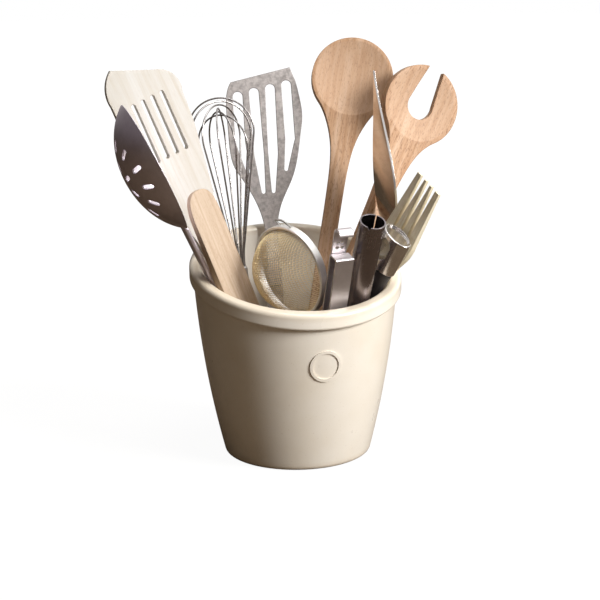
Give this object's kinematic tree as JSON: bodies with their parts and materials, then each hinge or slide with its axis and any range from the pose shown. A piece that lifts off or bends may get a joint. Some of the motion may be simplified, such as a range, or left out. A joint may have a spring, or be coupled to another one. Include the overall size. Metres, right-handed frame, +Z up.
{
  "type": "utensil crock",
  "caption": "Glazed crock with a slanted collar rim and a raised ring, filled with wooden and steel kitchen utensils that lift out.",
  "frame": {"origin": "centre of the crock's base, on the surface it stands on", "axes": "+Z up along the crock's axis; -Y towards the low side of the slanted rim, which carries the raised ring"},
  "size_m": [0.2551, 0.1603, 0.2795],
  "materials": {
    "glaze": "glossy cream glaze over stoneware, opaque",
    "pale_wood": "smooth, unvarnished",
    "beech": "smooth, oiled",
    "dark_steel": "polished",
    "cast_steel": "mottled, satin",
    "bright_steel": "polished",
    "brushed_steel": "brushed",
    "mesh": "woven wire",
    "black_plastic": "satin"
  },
  "bodies": {
    "crock": {"crock": "glaze"},
    "turner": {"turner": "pale_wood"},
    "skimmer": {"skimmer_bowl": "dark_steel", "skimmer_handle": "dark_steel"},
    "paddle": {"paddle": "beech"},
    "whisk": {"whisk_handle": "bright_steel", "whisk_loop_1": "bright_steel", "whisk_loop_2": "bright_steel", "whisk_loop_3": "bright_steel", "whisk_loop_4": "bright_steel", "whisk_loop_5": "bright_steel", "whisk_loop_6": "bright_steel"},
    "fish_slice": {"slice_head": "cast_steel", "slice_handle": "cast_steel"},
    "strainer": {"strainer_mesh": "mesh", "strainer_rim": "bright_steel", "strainer_ear": "bright_steel", "strainer_handle": "bright_steel"},
    "spoon": {"spoon": "beech"},
    "salad_server": {"server": "beech"},
    "cake_server": {"blade_server": "bright_steel", "blade_handle": "bright_steel"},
    "fork": {"fork": "pale_wood"},
    "zester": {"zester_body": "brushed_steel", "zester_head": "brushed_steel"},
    "corer": {"corer_tube": "dark_steel", "corer_handle": "black_plastic"},
    "peeler": {"peeler_grip": "black_plastic", "peeler_cap": "dark_steel", "peeler_blade": "brushed_steel"}
  },
  "joints": [
    {"name": "turner_lift", "type": "slide", "parent": "crock", "child": "turner", "axis": [-0.3772, 0.0099, 0.9261], "range_m": [0, 0.15]},
    {"name": "skimmer_lift", "type": "slide", "parent": "crock", "child": "skimmer", "axis": [-0.4297, -0.1318, 0.8933], "range_m": [0, 0.15]},
    {"name": "paddle_lift", "type": "slide", "parent": "crock", "child": "paddle", "axis": [-0.3304, 0.0851, 0.94], "range_m": [0, 0.125]},
    {"name": "whisk_lift", "type": "slide", "parent": "crock", "child": "whisk", "axis": [-0.0965, 0.081, 0.992], "range_m": [0, 0.15]},
    {"name": "fish_slice_lift", "type": "slide", "parent": "crock", "child": "fish_slice", "axis": [-0.0026, 0.1709, 0.9853], "range_m": [0, 0.15]},
    {"name": "strainer_lift", "type": "slide", "parent": "crock", "child": "strainer", "axis": [-0.1272, -0.0637, 0.9898], "range_m": [0, 0.115]},
    {"name": "spoon_lift", "type": "slide", "parent": "crock", "child": "spoon", "axis": [0.2427, 0.2258, 0.9435], "range_m": [0, 0.15]},
    {"name": "salad_server_lift", "type": "slide", "parent": "crock", "child": "salad_server", "axis": [0.4734, 0.1619, 0.8659], "range_m": [0, 0.15]},
    {"name": "cake_server_lift", "type": "slide", "parent": "crock", "child": "cake_server", "axis": [0.2862, 0.0888, 0.954], "range_m": [0, 0.15]},
    {"name": "fork_lift", "type": "slide", "parent": "crock", "child": "fork", "axis": [0.2903, -0.4291, 0.8554], "range_m": [0, 0.15]},
    {"name": "zester_lift", "type": "slide", "parent": "crock", "child": "zester", "axis": [0.0448, -0.2908, 0.9557], "range_m": [0, 0.125]},
    {"name": "corer_lift", "type": "slide", "parent": "crock", "child": "corer", "axis": [0.0342, -0.4247, 0.9047], "range_m": [0, 0.13]},
    {"name": "peeler_lift", "type": "slide", "parent": "crock", "child": "peeler", "axis": [0.2652, -0.473, 0.8402], "range_m": [0, 0.145]}
  ]
}
